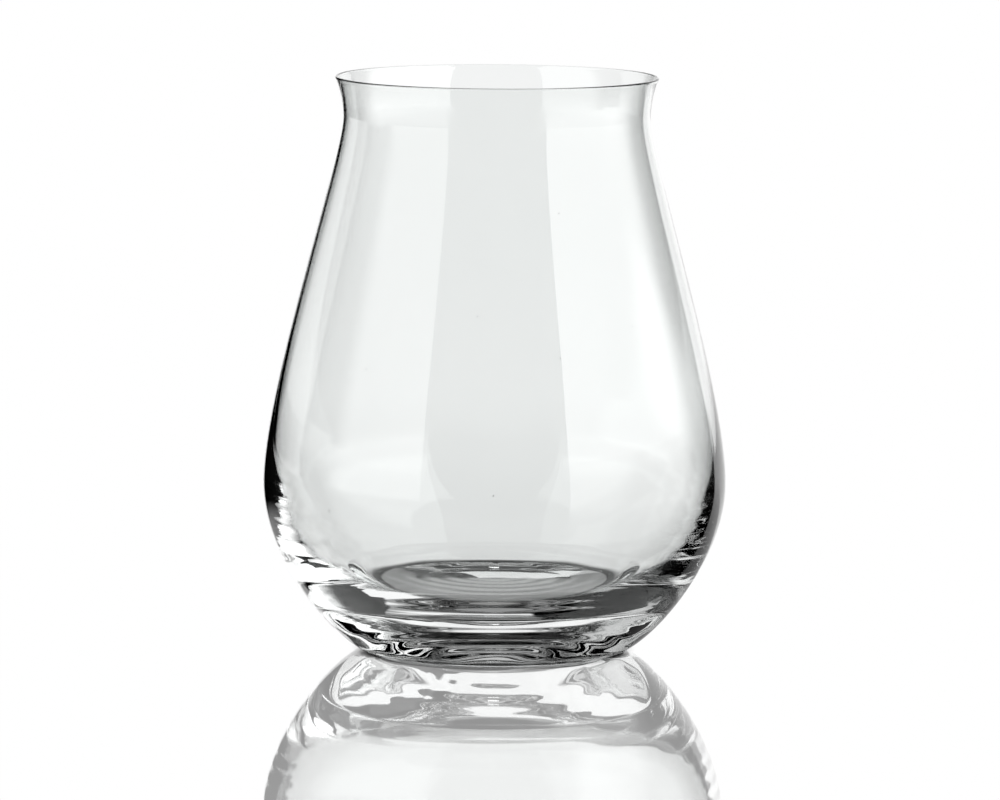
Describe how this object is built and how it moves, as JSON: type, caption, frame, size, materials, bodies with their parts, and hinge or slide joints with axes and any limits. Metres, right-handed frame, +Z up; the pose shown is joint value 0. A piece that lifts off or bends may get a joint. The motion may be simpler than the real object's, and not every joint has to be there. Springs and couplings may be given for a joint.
{
  "type": "stemless beer glass",
  "caption": "Clear stemless beer glass: a full round belly on a thick base, drawn in to a narrow neck with a thin flared rim to drink from.",
  "frame": {"origin": "middle of the standing ring, on the surface that the glass stands on", "axes": "+Z is up, along the axis that the glass is turned about; the body is round, so +X and +Y are any two level directions"},
  "size_m": [0.093, 0.093, 0.1154],
  "materials": {
    "clear_glass": "clear, fire-polished"
  },
  "bodies": {
    "root": {"glass": "clear_glass"}
  },
  "joints": []
}
